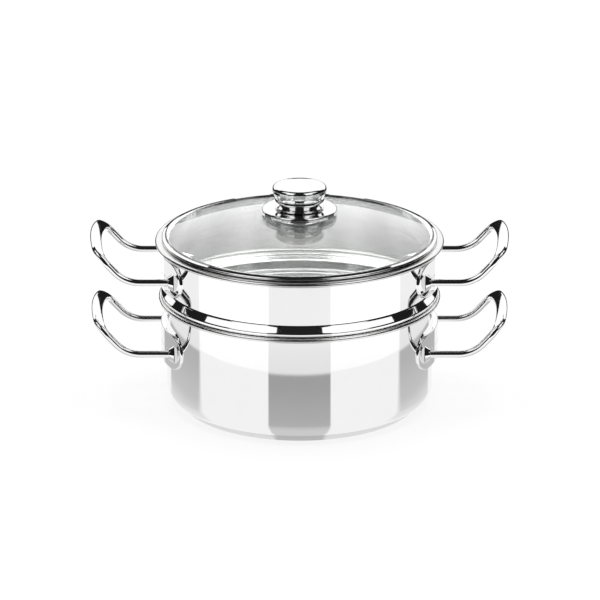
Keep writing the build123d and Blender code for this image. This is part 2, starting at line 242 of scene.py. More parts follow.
class StudioLook(bpy.types.PropertyGroup):
    table: tint("Pale table top", (0.97, 0.97, 0.97))
    dark: share("Brightness of the dark room in reflections", 0.012)
    panel: power("Brightness of the white panels in polished steel", 1.06)
    panel_inside: power("Brightness of the white panels through the glass", 2.6)
    top_inside: power("Brightness of the room above, seen through the glass", 3.0)
    overhead: share("Brightness of the room above the dark part", 0.015)
    # painted reflection: the tones and sizes below belong to the glowing disc that the polished steel shows in
    # place of the table
    disc: length("Radius of the dim disc round the pot", 308.0)
    disc_tone: share("Brightness of the dim disc in reflections", 0.36)
    contact_tone: share("Brightness close to the pot in reflections", 0.62)
    table_tone: share("Brightness of the table beyond the disc in reflections", 0.92)
    edge: length("Radius at which the table ends in reflections", 565.0)
    front: degrees("Half angle of the dark gap behind the camera", 26.6)
    side: degrees("Angle at which the side panels end", 96.0)
    rear_side: degrees("Angle at which the table turns light again", 150.0)
    step: degrees("Angle at which the foot of the panels steps up", 60.0)
    panel_foot: degrees("Height angle at which the front panels start", 16.0)
    panel_low: degrees("Height angle at which the side panels start", 38.0)
    panel_top: degrees("Height angle of the side panels", 66.0)
    rear: degrees("Half angle of the white backdrop", 50.0)
    rear_low: degrees("Height angle at which the white backdrop starts", 8.0)
    rear_top: degrees("Height angle of the white backdrop", 46.0)
    room_low: degrees("Height angle at which the dark room and its cards start", -60.0)
    room_reach: length("Radius of the dark room", 2600.0)
    card_reach: length("Radius at which the white panels stand", 2500.0)
    table_reach: length("Radius of the table that the camera sees", 6000.0)
    sun: power("Strength of the soft light from above", 2.2)
    sun_size: degrees("Angle over which the light from above spreads", 45.0)
    fill: power("Brightness of the surroundings for all that is lit by them", 0.5)
    glow: share("How much of the table is plain white, so that its shadow stays faint", 0.84)


class Plan:
    """Radii and heights that follow from the sizes in the panel."""

    def __init__(self, scene):
        v, l, k = scene.steamer_vessels, scene.steamer_lid, scene.steamer_knob
        self.floor_top = v.pot_height - v.floor_drop
        self.steamer_top = v.pot_height + v.steamer_rise
        self.rod_pot = v.pot_height - scene.steamer_handles.pot_drop
        self.rod_steamer = v.pot_height + scene.steamer_handles.steamer_rise
        self.band = v.wall + v.steamer_rim - l.inset
        self.band_floor = self.steamer_top + l.rest
        self.glass = self.band - l.glass_inset
        self.glass_top = self.band_floor + l.edge_rise + l.dome
        self.ball = (self.glass ** 2 + l.dome ** 2) / (2 * l.dome)
        self.hub_top = self.glass_top - l.glass - k.lower_seal
        self.dish_under = self.glass_top + k.upper_seal
        self.neck_foot = self.dish_under + k.dish_sheet
        self.collar_foot = self.neck_foot + k.neck_height
        self.knob_foot = self.collar_foot + k.collar_height

    def glass_height(self, radius):
        return self.glass_top - self.ball + math.sqrt(self.ball ** 2 - radius ** 2)


# ---------------------------------------------------------------- shaping tools

def outline(bm, points, closed=False):
    """Corners of a section in the XZ plane, joined by edges."""
    corners = [bm.verts.new((radius, 0, height)) for radius, height in points]
    for pair in zip(corners, corners[1:] + corners[:1] if closed else corners[1:]):
        bm.edges.new(pair)
    return corners


def bend(bm, corners, radii, steps=8):
    """Rounds each corner of a section to its own bend radius."""
    for corner, radius in zip(corners, radii):
        if not radius:
            continue
        one, other = (edge.other_vert(corner).co - corner.co for edge in corner.link_edges)
        bmesh.ops.bevel(bm, geom=[corner], offset=radius / math.tan(one.angle(other) / 2),
                        offset_type="OFFSET", segments=steps, profile=0.5, affect="VERTICES",
                        clamp_overlap=False, material=-1)


def hold_flats(bm, reach):
    """Extra points near the ends of long straight lines, so that flats stay flat in the gloss."""
    for edge in [edge for edge in bm.edges if edge.calc_length() > 6 * reach]:
        first, last = edge.verts
        size = edge.calc_length()
        _, near = bmesh.utils.edge_split(edge, first, reach / size)
        rest = next(e for e in near.link_edges if last in e.verts)
        bmesh.utils.edge_split(rest, last, reach / (size - reach))


def spin(bm, geom, axis, angle, steps, centre=(0, 0, 0), whole=False):
    """Sweeps points and lines round an axis; a whole turn closes on itself."""
    return bmesh.ops.spin(bm, geom=geom, cent=centre, axis=axis, dvec=(0, 0, 0), angle=angle,
                          steps=steps, use_merge=whole)


def rotate(bm, angle):
    """Rotates the shape about the vertical axis."""
    bmesh.ops.rotate(bm, verts=bm.verts, cent=(0, 0, 0), matrix=Matrix.Rotation(angle, 3, "Z"))


def clean(bm):
    """Joins the points that meet at seams and poles, and turns all faces the same way."""
    bmesh.ops.remove_doubles(bm, verts=bm.verts, dist=WELD)
    bmesh.ops.recalc_face_normals(bm, faces=bm.faces)


def turn(bm, steps, angle=FULL, start=0.0):
    """Spins the section round the vertical axis, from the start angle on."""
    rotate(bm, start)
    spin(bm, bm.verts[:] + bm.edges[:], (0, 0, 1), angle, steps, whole=angle == FULL)
    clean(bm)


def face_out(bm, radius, height):
    """Turns an open shell so that its wall faces away from the axis at that place."""
    def away(face):
        middle = face.calc_center_median()
        return math.hypot(middle.xy.length - radius, middle.z - height)

    wall = min(bm.faces, key=away)
    if wall.normal.xy.dot(wall.calc_center_median().xy) < 0:
        bmesh.ops.reverse_faces(bm, faces=bm.faces)


def apply(obj, kind, **settings):
    """Adds one modifier and makes it real."""
    modifier = obj.modifiers.new(kind.title(), kind)
    for key, value in settings.items():
        setattr(modifier, key, value)
    bpy.context.view_layer.objects.active = obj
    bpy.ops.object.modifier_apply(modifier=modifier.name)


def turned_section(points, radii, steps, reach=FLAT_KNOB, closed=False, angle=FULL, start=0.0):
    """Bends a section at its corners and turns it round the vertical axis."""
    bm = bmesh.new()
    corners = outline(bm, points, closed)
    bend(bm, corners if closed else corners[1:], radii, 6 if closed else 8)
    hold_flats(bm, reach)
    turn(bm, steps, angle, start)
    return bm


def loft(bm, count, rings):
    """Extrudes a ring of points from one place to the next and gives the edges of the last ring."""
    mark = bm.verts.layers.int.new("place in ring")
    verts = bmesh.ops.create_circle(bm, cap_ends=False, radius=1.0, segments=count)["verts"]
    for k, vert in enumerate(verts):
        vert[mark] = k
    edges = bm.edges[:]
    for step, points in enumerate(rings):
        if step:
            made = bmesh.ops.extrude_edge_only(bm, edges=edges)["geom"]
            verts = [item for item in made if isinstance(item, bmesh.types.BMVert)]
            edges = [e for e in made if isinstance(e, bmesh.types.BMEdge) and all(w in verts for w in e.verts)]
        for vert in verts:
            vert.co = points[vert[mark]]
    return edges


def add_to_scene(bm, name):
    """Makes the shape an object of the scene."""
    mesh = bpy.data.meshes.new(name)
    bm.to_mesh(mesh)
    bm.free()
    obj = bpy.data.objects.new(name, mesh)
    bpy.context.scene.collection.objects.link(obj)
    return obj


def smooth(mesh, sharp):
    mesh.shade_smooth()
    mesh.set_sharp_from_angle(angle=math.radians(sharp))


def piece(bm, name, body, node, slot, materials, sheet=0.0, inside=0, sharp=35.0):
    """One finished piece: sheet thickness, smooth shading, materials, body and CAD node."""
    obj = add_to_scene(bm, name)
    for material in materials:
        obj.data.materials.append(bpy.data.materials[material])
    if sheet:
        apply(obj, "SOLIDIFY", thickness=sheet, offset=0.0, use_even_offset=True,
              use_quality_normals=True, material_offset=inside)
    smooth(obj.data, sharp)
    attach(obj, body)
    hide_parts(node)
    return obj


def rolled_rim(v, radius, top, depth):
    """Middle line and bend radii of a rim rolled outwards and under."""
    half = v.sheet / 2
    out, high, low = radius - half, top - half, top - depth + half
    roll = (high - low) / 2
    inner = out - 2 * roll
    points = [(v.wall - half, high), (out, high), (out, low), (inner, low), (inner, low + roll + v.sheet)]
    # the rolled bends stay a hair smaller than half the rim, so that a short straight line is left
    return points, [v.lip] + [roll * 0.99] * 3


# ---------------------------------------------------------------- finishes

def new_material(name):
    material = bpy.data.materials.new(name)
    material.use_nodes = True
    tree = material.node_tree
    return material, tree, tree.nodes["Principled BSDF"]


def plug(tree, socket, value):
    if isinstance(value, bpy.types.NodeSocket):
        tree.links.new(value, socket)
    else:
        socket.default_value = value


def give(tree, node, **inputs):
    """Sets the inputs of a node by name, each to a value or joined to a socket."""
    for key, value in inputs.items():
        plug(tree, node.inputs[key.replace("_", " ")], value)
    return node


def add(tree, kind, **inputs):
    return give(tree, tree.nodes.new("ShaderNode" + kind), **inputs)


def maths(tree, operation, *values, clamp=False):
    node = add(tree, "Math")
    node.operation, node.use_clamp = operation, clamp
    for socket, value in zip(node.inputs, values):
        plug(tree, socket, value)
    return node.outputs[0]


def object_point(tree):
    return add(tree, "TexCoord").outputs["Object"]


def noise(tree, point, scale, detail=2.0, rough=0.5):
    return add(tree, "TexNoise", Vector=point, Scale=scale, Detail=detail, Roughness=rough).outputs["Fac"]


def spread(tree, value, low, high):
    """The noise value stretched onto a range; almost all of a noise lies between 0.3 and 0.7."""
    node = add(tree, "MapRange", Value=value, From_Min=0.3, From_Max=0.7, To_Min=low, To_Max=high)
    return node.outputs["Result"]


def between(tree, value, low, high, first, last):
    """A smooth step from one number to another."""
    node = add(tree, "MapRange", Value=value, From_Min=low, From_Max=high, To_Min=first, To_Max=last)
    node.interpolation_type = "SMOOTHSTEP"
    return node.outputs["Result"]


def shaded(tree, colour, value, least):
    """The colour, slightly darker where the value is low."""
    mix = add(tree, "Mix")
    mix.data_type = "RGBA"
    plug(tree, mix.inputs["Factor"], spread(tree, value, 0.0, 1.0))
    dark, light = (socket for socket in mix.inputs if socket.type == "RGBA")
    dark.default_value = (*(c * least for c in colour), 1)
    light.default_value = (*colour, 1)
    return next(socket for socket in mix.outputs if socket.type == "RGBA")


def turned_lines(tree, point, fineness):
    """Fine rings round the vertical axis, as a lathe or a polishing mop leaves them."""
    parts = add(tree, "SeparateXYZ", Vector=point)
    flat = add(tree, "CombineXYZ", X=parts.outputs["X"], Y=parts.outputs["Y"])
    reach = add(tree, "VectorMath")
    reach.operation = "LENGTH"
    tree.links.new(flat.outputs[0], reach.inputs[0])
    ring = add(tree, "CombineXYZ", X=reach.outputs["Value"], Y=parts.outputs["Z"])
    return noise(tree, ring.outputs[0], fineness, detail=3.0, rough=0.6)


def bumped(tree, height, strength, distance):
    return add(tree, "Bump", Height=height, Strength=strength, Distance=distance).outputs["Normal"]


def mirror_steel(name, look, scale=22.0, ripple=1.0):
    """Polished pressed steel: a faint unevenness of the sheet and fine wiping marks."""
    tree, shader = new_material(name)[1:]
    point = object_point(tree)
    wiping = noise(tree, point, scale=420.0, detail=4.0, rough=0.65)
    give(tree, shader, Metallic=1.0,
         Base_Color=shaded(tree, look.mirror, noise(tree, point, scale=60.0, detail=3.0), 0.985),
         Roughness=spread(tree, wiping, look.polish * 0.8, look.polish * 1.35),
         Normal=bumped(tree, noise(tree, point, scale, detail=1.0), look.ripple * ripple, 0.3 * MM))


def turned_steel(name, colour, fineness, roughness, strength):
    """Metal with fine rings from the lathe or the mop."""
    tree, shader = new_material(name)[1:]
    lines = turned_lines(tree, object_point(tree), fineness)
    give(tree, shader, Metallic=1.0, Base_Color=shaded(tree, colour, lines, 0.93),
         Roughness=spread(tree, lines, roughness * 0.8, roughness * 1.2),
         Normal=bumped(tree, lines, strength, 0.02 * MM))


def clear_glass(name, look):
    """Clear toughened glass with faint wiping marks."""
    tree, shader = new_material(name)[1:]
    point = object_point(tree)
    give(tree, shader, Transmission_Weight=1.0, IOR=1.5,
         Base_Color=shaded(tree, look.glass, noise(tree, point, scale=30.0), 0.995),
         Roughness=spread(tree, noise(tree, point, scale=260.0, detail=4.0), 0.0, 0.012))


def soft_washer(name, look):
    """Translucent silicone with a fine dull grain."""
    tree, shader = new_material(name)[1:]
    point = object_point(tree)
    give(tree, shader, Subsurface_Weight=0.3, Subsurface_Radius=(1.0 * MM, 1.0 * MM, 1.0 * MM),
         Base_Color=shaded(tree, look.washer, noise(tree, point, scale=900.0, detail=4.0), 0.9),
         Roughness=spread(tree, noise(tree, point, scale=500.0), 0.4, 0.55),
         Normal=bumped(tree, noise(tree, point, scale=1500.0), 0.2, 0.05 * MM))


# ---------------------------------------------------------------- pieces

class STEAMER_OT_finishes(bpy.types.Operator):
    """Make the materials of all pieces"""
    bl_idname = "steamer.finishes"
    bl_label = "Finishes"

    def execute(self, context):
        look = context.scene.steamer_finishes
        mirror_steel("mirror_steel", look)
        mirror_steel("mirror_steel_knob", look, scale=60.0, ripple=0.5)
        mirror_steel("mirror_steel_rod", look, scale=70.0, ripple=0.8)
        for name, colour, fineness, roughness, strength in (
                ("inside_steel", look.satin, 500.0, 0.22, 0.02),
                # the darker floor steel is painted shade of the steamer's bottom; its low roughness is its polish
                ("steamer_floor_painted_shade", look.nest, 500.0, 0.07, 0.008),
                ("turned_base_steel", look.base, 1400.0, 0.28, 0.6),
                ("rolled_aluminium", look.core, 600.0, 0.45, 0.5),
                ("plain_screw_steel", look.screw, 1200.0, 0.35, 0.5)):
            turned_steel(name, colour, fineness, roughness, strength)
        clear_glass("lid_glass_clear", look)
        soft_washer("soft_washer", look)
        return {"FINISHED"}


class STEAMER_OT_pot_shell(bpy.types.Operator):
    """Build the pot's pressed shell with its rolled rim"""
    bl_idname = "steamer.pot_shell"
    bl_label = "Pot shell"

    def execute(self, context):
        v = context.scene.steamer_vessels
        half = v.sheet / 2
        wall, floor = v.wall - half, v.base_height + half
        rim, bends = rolled_rim(v, v.wall + v.pot_rim, v.pot_height, v.pot_rim_depth)
        bm = turned_section([(0, floor), (wall, floor)] + rim, [v.pot_corner - half] + bends, v.steps, FLAT_VESSEL)
        face_out(bm, wall, v.pot_height / 2)
        piece(bm, "pot_shell", "pot", "pot_body", "polished_steel", ["mirror_steel", "inside_steel"],
              sheet=v.sheet, inside=1)
        return {"FINISHED"}


class STEAMER_OT_pot_base(bpy.types.Operator):
    """Build the capsule under the pot"""
    bl_idname = "steamer.pot_base"
    bl_label = "Pot base"

    def execute(self, context):
        v = context.scene.steamer_vessels
        half = v.base_skin / 2
        radius = v.wall - v.base_inset - half
        bm = turned_section([(0, half), (radius, half), (radius, v.base_height)], [v.base_corner - half],
                            v.steps, FLAT_VESSEL)
        face_out(bm, radius, v.base_height * 0.7)
        piece(bm, "pot_base", "pot", "pot_base_cap", "base_steel", ["turned_base_steel"], sheet=v.base_skin)
        return {"FINISHED"}


def hole_places(v):
    """Middles of the holes: groups of short arcs, one row inside the next."""
    for group in range(v.hole_groups):
        for row in range(v.hole_rows):
            ring = v.wall - v.floor_inset - v.hole_inset - row * v.hole_row
            last = v.hole_rows - row
            for k in range(last + 1):
                angle = v.hole_turn + FULL * group / v.hole_groups + (k - last / 2) * v.hole_pitch / ring
                yield Vector((ring * math.cos(angle), ring * math.sin(angle), 0))


class STEAMER_OT_steamer_shell(bpy.types.Operator):
    """Build the steamer's shell with its bead, nesting bottom and perforated floor"""
    bl_idname = "steamer.steamer_shell"
    bl_label = "Steamer shell"

    def execute(self, context):
        v = context.scene.steamer_vessels
        plan = Plan(context.scene)
        half = v.sheet / 2
        floor, ledge = plan.floor_top - half, v.pot_height - v.ledge_drop - half
        seat = v.pot_height + v.seat_gap + half
        wall, edge = v.wall - half, v.wall - v.floor_inset - half
        nest, bead = v.wall - v.nest_inset - half, v.wall + v.bead - half
        rim, bends = rolled_rim(v, v.wall + v.steamer_rim, plan.steamer_top, v.steamer_rim_depth)
        middle = edge - v.hole_inset / 2
        bm = turned_section([(middle, floor), (edge, floor), (edge, ledge), (nest, ledge), (nest, seat),
                             (bead, seat), (bead, seat + v.bead_height), (wall, seat + v.neck_in)] + rim,
                            [v.floor_bend, v.step_bend, v.ledge_bend, v.seat_bend, v.bead_bend, v.bead_bend,
                             v.neck_bend] + bends, v.steps, FLAT_VESSEL)
        # the floor inside the turned part is filled between its edge and the holes
        border = [e for e in bm.edges if e.is_boundary and e.verts[0].co.xy.length < middle + MM]
        for place in hole_places(v):
            ring = bmesh.ops.create_circle(bm, cap_ends=False, radius=v.hole, segments=v.hole_steps)["verts"]
            bmesh.ops.translate(bm, verts=ring, vec=place + Vector((0, 0, floor)))
            border += {e for vert in ring for e in vert.link_edges}
        bmesh.ops.triangle_fill(bm, use_beauty=True, use_dissolve=False, edges=border, normal=(0, 0, 1))
        bmesh.ops.recalc_face_normals(bm, faces=bm.faces)
        face_out(bm, wall, (v.pot_height + plan.steamer_top) / 2)
        # below the pot's rim the inside takes the darker floor steel, painted shade of the steamer's bottom
        for face in bm.faces:
            if face.calc_center_median().z < v.pot_height:
                face.material_index = 2
        piece(bm, "steamer_shell", "steamer", "steamer_body", "polished_steel",
              ["mirror_steel", "inside_steel", "mirror_steel", "steamer_floor_painted_shade"], sheet=v.sheet, inside=1)
        return {"FINISHED"}


def handle_stations(h, v, height):
    """Middle line of one half of a loop: place, direction, across, and how far it is flattened (0 to 1)."""
    knee_steps, corner_steps, grip_steps = 20, 24, 14
    clear = 0.3 * MM  # the straight parts end this near to a bend
    slope, y = h.slope, h.half_gap
    rise = Vector((math.cos(slope), 0, math.sin(slope)))
    upward = Vector((-math.sin(slope), 0, math.cos(slope)))
    side, ahead, up = Vector((0, 1, 0)), Vector((1, 0, 0)), Vector((0, 0, 1))
    knee = Vector((v.wall + h.knee, 0, height))
    cut = h.knee_bend * math.tan(slope / 2)
    start = math.sqrt(v.wall ** 2 - y ** 2) + h.end_gap
    reach = h.grip / math.cos(slope)
    flat = y - h.grip_corner
    arc = (flat ** 2 + h.grip_bow ** 2) / (2 * h.grip_bow)
    arc_centre = reach - arc
    corner_centre = arc_centre + math.sqrt((arc - h.grip_corner) ** 2 - flat ** 2)
    tangent = math.asin(flat / (arc - h.grip_corner))

    def round_by(angle, centre, across, radius, share):
        out = rise * math.cos(angle) + side * math.sin(angle)
        along = rise * math.sin(angle) - side * math.cos(angle)
        tilt = h.tilt * share
        return (knee + rise * centre + side * across + out * radius, along,
                out * math.cos(tilt) - upward * math.sin(tilt), share)

    yield Vector((start, y, height)), ahead, side, 0.0
    yield Vector((knee.x - cut - clear, y, height)), ahead, side, 0.0
    for k in range(knee_steps + 1):
        a = slope * k / knee_steps
        place = Vector((knee.x - cut + h.knee_bend * math.sin(a), y, height + h.knee_bend * (1 - math.cos(a))))
        yield place, ahead * math.cos(a) + up * math.sin(a), side, 0.0
    for s in (cut + clear, corner_centre - clear):
        yield knee + rise * s + side * y, rise, side, 0.0
    for k in range(corner_steps + 1):
        a = math.pi / 2 + (tangent - math.pi / 2) * k / corner_steps
        share = min(1.0, max(0.0, (h.round_to - a) / (h.round_to - h.flat_from)))
        yield round_by(a, corner_centre, flat, h.grip_corner, share * share * (3 - 2 * share))
    for k in range(1, grip_steps + 1):
        yield round_by(tangent * (1 - k / grip_steps), arc_centre, 0, arc, 1.0)


def handle_loop(h, v, height, count=40):
    """Half the loop, lofted from the rod end to the middle of the grip, then mirrored."""
    def rings():
        for place, along, across, flat in handle_stations(h, v, height):
            radius = h.rod + (h.grip_thickness / 2 - h.rod) * flat
            # never quite zero, so that the two sides of the ring keep apart
            widen = max(0.02 * MM, (h.grip_width - h.grip_thickness) / 2 * flat)
            over = along.cross(across)
            angles = [FULL * (k + 0.5) / count for k in range(count)]
            yield [place + across * (radius * math.cos(a) + math.copysign(widen, math.cos(a)))
                   + over * (radius * math.sin(a)) for a in angles]

    bm = bmesh.new()
    loft(bm, count, rings())
    bmesh.ops.mirror(bm, geom=bm.verts[:] + bm.edges[:] + bm.faces[:], axis="Y", merge_dist=-1)
    bmesh.ops.remove_doubles(bm, verts=bm.verts, dist=2 * WELD)
    bmesh.ops.holes_fill(bm, edges=[e for e in bm.edges if e.is_boundary], sides=0)
    bmesh.ops.recalc_face_normals(bm, faces=bm.faces)
    return bm


def handle_places(scene):
    """Vessel, side, height of the rods and turn of the four handles."""
    plan = Plan(scene)
    for vessel, height in (("pot", plan.rod_pot), ("steamer", plan.rod_steamer)):
        for side, angle in (("right", 0.0), ("left", math.pi)):
            yield vessel, side, height, angle


class STEAMER_OT_handles(bpy.types.Operator):
    """Build the four bent loop handles"""
    bl_idname = "steamer.handles"
    bl_label = "Loop handles"

    def execute(self, context):
        v, h = context.scene.steamer_vessels, context.scene.steamer_handles
        for vessel, side, height, angle in handle_places(context.scene):
            bm = handle_loop(h, v, height)
            rotate(bm, angle)
            piece(bm, f"{vessel}_loop_{side}", vessel, f"{vessel}_handle_{side}", "polished_steel",
                  ["mirror_steel_rod"], sharp=50.0)
        return {"FINISHED"}


def stadium(half_length, radius, corner=24, side=12):
    """Points round an outline with round ends, along the plate and up."""
    straight = half_length - radius
    for way in (1, -1):
        for k in range(corner + 1):
            a = math.pi * (k / corner - 0.5)
            yield way * (straight + radius * math.cos(a)), way * radius * math.sin(a)
        for k in range(1, side):
            yield way * straight * (1 - 2 * k / side), way * radius


def plate_shell(p, v, height):
    """Pressed plate: rings from the wall over the rounded edge to the bowed face."""
    bm = bmesh.new()
    half = p.length / 2
    outer = v.wall + p.depth
    rise = outer - math.sqrt((v.wall + p.end_depth) ** 2 - half ** 2)
    bow = (half ** 2 + rise ** 2) / (2 * rise)
    middle = height + p.lift

    def face_at(y):
        return outer - bow + math.sqrt(bow ** 2 - y ** 2)

    # each ring's way in from the outline, and its depth below the face; the first one stands at the wall
    rings = [(0.0, None)]
    rings += [(p.edge * (1 - math.cos(a)), p.edge * (1 - math.sin(a)))
              for a in (math.radians(turn) for turn in range(0, 91, 10))]
    rings += [(p.edge + step * MM, 0.0) for step in (0.25, 2, 4, 6, 8, 10, 12, 14, 15.4)]
    previous = None
    for inset, drop in rings:
        ring = []
        for y, z in stadium(half - inset, p.height / 2 - inset):
            x = math.sqrt(v.wall ** 2 - y ** 2) + p.wall_air if drop is None else face_at(y) - drop
            ring.append(bm.verts.new((x, y, middle + z)))
        if previous:
            for k in range(len(ring)):
                bm.faces.new((previous[k - 1], ring[k - 1], ring[k], previous[k]))
        previous = ring
    bmesh.ops.contextual_create(bm, geom=previous)
    bmesh.ops.remove_doubles(bm, verts=bm.verts, dist=WELD)
    bmesh.ops.recalc_face_normals(bm, faces=bm.faces)
    top = max(bm.faces, key=lambda face: face.calc_center_median().x)
    if top.normal.x < 0:
        bmesh.ops.reverse_faces(bm, faces=bm.faces)
    return bm, face_at


def boss(bm, p, h, face, y, height):
    """Round boss that holds a rod end, turned round the rod's axis."""
    foot, reach = face - p.sheet, face + p.boss_depth
    flare = (p.boss_foot - p.boss) / p.boss_depth
    bore = h.rod + p.rod_air
    part = bmesh.new()
    corners = outline(part, [(foot, bore), (foot, p.boss + flare * (reach - foot)), (reach, p.boss),
                             (reach, bore)], closed=True)
    bend(part, [corners[2]], [p.boss_edge], 6)
    spin(part, part.verts[:] + part.edges[:], (1, 0, 0), FULL, p.boss_steps, whole=True)
    clean(part)
    bmesh.ops.translate(part, verts=part.verts, vec=(0, y, height))
    mesh = bpy.data.meshes.new("boss")
    part.to_mesh(mesh)
    part.free()
    bm.from_mesh(mesh)
    bpy.data.meshes.remove(mesh)


class STEAMER_OT_handle_plates(bpy.types.Operator):
    """Build the four pressed plates with the bosses for the rod ends"""
    bl_idname = "steamer.handle_plates"
    bl_label = "Handle plates"

    def execute(self, context):
        v, h, p = (getattr(context.scene, f"steamer_{group}") for group in ("vessels", "handles", "plates"))
        for vessel, side, height, angle in handle_places(context.scene):
            bm, face_at = plate_shell(p, v, height)
            skin = piece(bm, f"{vessel}_plate_{side}", vessel, f"{vessel}_handle_plate_{side}",
                         "polished_steel", ["mirror_steel_rod"])
            apply(skin, "SOLIDIFY", thickness=p.sheet, offset=-1.0, use_even_offset=True)
            bm = bmesh.new()
            bm.from_mesh(skin.data)
            for y in (-h.half_gap, h.half_gap):
                boss(bm, p, h, face_at(y), y, height)
            rotate(bm, angle)
            bm.to_mesh(skin.data)
            bm.free()
            smooth(skin.data, 35.0)
        return {"FINISHED"}


class STEAMER_OT_lid_glass(bpy.types.Operator):
    """Build the domed glass"""
    bl_idname = "steamer.lid_glass"
    bl_label = "Lid glass"

    def execute(self, context):
        l, v = context.scene.steamer_lid, context.scene.steamer_vessels
        plan = Plan(context.scene)
        low = plan.band_floor + l.sheet / 2 + l.gap
        # the underside is a little flatter, so that the glass thins towards its edge and stays clear there
        foot, drop = plan.glass - l.glass_foot, plan.glass_top - l.glass - low
        under = (foot ** 2 + drop ** 2) / (2 * drop)
        bm = bmesh.new()
        for ball, top, edge in ((plan.ball, plan.glass_top, plan.glass),
                                (under, plan.glass_top - l.glass, foot)):
            middle = Vector((0, 0, top - ball))
            lean = math.asin(l.glass_hole / ball)
            start = bm.verts.new(middle + Vector((math.sin(lean), 0, math.cos(lean))) * ball)
            spin(bm, [start], (0, 1, 0), math.asin(edge / ball) - lean, l.dome_steps, centre=middle)
        far = sorted((w for w in bm.verts if len(w.link_edges) == 1), key=lambda w: (w.co.x, w.co.z))
        bm.edges.new(far[:2])
        inner, outer = far[2:]
        corner = bm.verts.new((plan.glass, 0, low))
        bm.edges.new((inner, corner))
        bm.edges.new((corner, outer))
        bend(bm, [outer], [l.glass_edge], 4)
        turn(bm, v.steps)
        piece(bm, "lid_dome", "lid", "lid_glass", "clear_glass", ["lid_glass_clear"], sharp=30.0)
        return {"FINISHED"}


class STEAMER_OT_lid_band(bpy.types.Operator):
    """Build the steel band that holds the glass, with its seam"""
    bl_idname = "steamer.lid_band"
    bl_label = "Lid band"

    def execute(self, context):
        l, v = context.scene.steamer_lid, context.scene.steamer_vessels
        plan = Plan(context.scene)
        half = l.sheet / 2
        # the lip lies along the glass, and as it slopes it needs a little more than its half thickness
        out, lift = plan.band - half, (half + l.gap) * 1.2
        inner, skirt, gap = plan.band - l.lip, v.wall - l.skirt_inset - half, l.seam / plan.band
        top, floor = plan.glass_height(out) + lift, plan.band_floor
        bm = turned_section([(inner, plan.glass_height(inner) + lift), (out, top), (out, floor), (skirt, floor),
                             (skirt, floor - l.skirt)], [l.corner] * 3, v.steps,
                            angle=FULL - gap, start=l.seam_turn + gap / 2)
        face_out(bm, out, (top + floor) / 2)
        piece(bm, "lid_rim_band", "lid", "lid_band", "polished_steel", ["mirror_steel"], sheet=l.sheet)
        return {"FINISHED"}


class STEAMER_OT_lid_hub(bpy.types.Operator):
    """Build the polished cup under the glass"""
    bl_idname = "steamer.lid_hub"
    bl_label = "Hub under the glass"

    def execute(self, context):
        k = context.scene.steamer_knob
        plan = Plan(context.scene)
        half, top = k.hub_sheet / 2, plan.hub_top
        bm = turned_section([(k.stack_hole, top - half), (k.hub - half, top - half),
                             (k.hub - half, top - k.hub_height)], [k.hub_corner], k.hub_steps)
        face_out(bm, k.hub - half, top - k.hub_height / 2)
        piece(bm, "lid_cup", "lid", "lid_hub", "polished_steel", ["mirror_steel_knob"], sheet=k.hub_sheet)
        return {"FINISHED"}


class STEAMER_OT_knob(bpy.types.Operator):
    """Build the knob: dish, neck, collar, bowl and cap"""
    bl_idname = "steamer.knob"
    bl_label = "Knob"

    def execute(self, context):
        k = context.scene.steamer_knob
        plan = Plan(context.scene)
        half, bore, wall, waist = k.dish_sheet / 2, k.stack_hole, k.wall, k.waist

        def part(bm, name, node, **settings):
            piece(bm, name, "lid", node, "polished_steel", ["mirror_steel_knob"], **settings)

        flat, rim = plan.dish_under + half, k.dish - half
        brim, foot = flat + k.dish_rim - half, flat - k.dish_sink - half
        part(turned_section([(bore, flat), (k.dish_seat, flat), (k.dish_step, brim), (rim, brim), (rim, foot)],
                            [k.dish_corner, k.dish_corner, k.dish_edge], k.steps),
             "knob_saucer", "knob_dish", sheet=k.dish_sheet, sharp=50.0)
        for name, node, radius, low, high, edge in (
                ("knob_stem", "knob_neck", k.neck, plan.neck_foot, plan.collar_foot, k.neck_edge),
                ("knob_ring", "knob_collar", k.collar, plan.collar_foot, plan.knob_foot, k.collar_height / 3)):
            part(turned_section([(bore, low), (radius, low), (radius, high), (bore, high)],
                                [0, edge, edge, 0], k.steps, FLAT_SOLID, closed=True), name, node)
        # the bowl opens from its foot to an upright waist and flares a little up to the seam
        foot, seam = plan.knob_foot, plan.knob_foot + k.seam_height
        low, high = foot + k.waist_low, foot + k.waist_top
        part(turned_section([(bore, foot), (k.foot, foot), (waist, low), (waist, high), (k.seam, seam),
                             (k.seam - wall, seam), (waist - wall, high), (waist - wall, low + wall / 2),
                             (k.foot - wall, foot + wall), (bore, foot + wall)],
                            [0, k.foot_edge, k.foot_bend, k.waist_bend, k.seam_edge, k.seam_edge,
                             k.waist_bend, k.foot_bend_inside, 0, 0], k.steps, FLAT_SOLID, closed=True),
             "knob_lower_half", "knob_bowl")
        ball = (k.cap ** 2 + k.cap_dome ** 2) / (2 * k.cap_dome)
        peak, arc_steps, edge_steps = foot + k.cap_height, 12, 10
        low = seam + k.seam_gap
        bm = bmesh.new()
        feet = []
        for inset in (0.0, wall):
            radius, edge, centre = k.cap - inset, k.cap_edge - inset, peak - ball - inset
            top = bm.verts.new((0, 0, peak - inset))
            # the dome stops a little before the bend of the edge starts
            arc = spin(bm, [top], (0, 1, 0), math.asin((radius - 1.15 * edge) / ball), arc_steps,
                       centre=(0, 0, centre))
            rim = next(item for item in arc["geom_last"] if isinstance(item, bmesh.types.BMVert))
            shoulder = bm.verts.new((radius, 0, centre + math.sqrt(ball ** 2 - radius ** 2)))
            feet.append(bm.verts.new((k.cap_foot - inset, 0, low)))
            bm.edges.new((rim, shoulder))
            bm.edges.new((shoulder, feet[-1]))
            bend(bm, [shoulder], [edge], edge_steps)
        bm.edges.new(feet)
        hold_flats(bm, FLAT_SOLID)
        turn(bm, k.steps)
        part(bm, "knob_upper_half", "knob_cap")
        return {"FINISHED"}


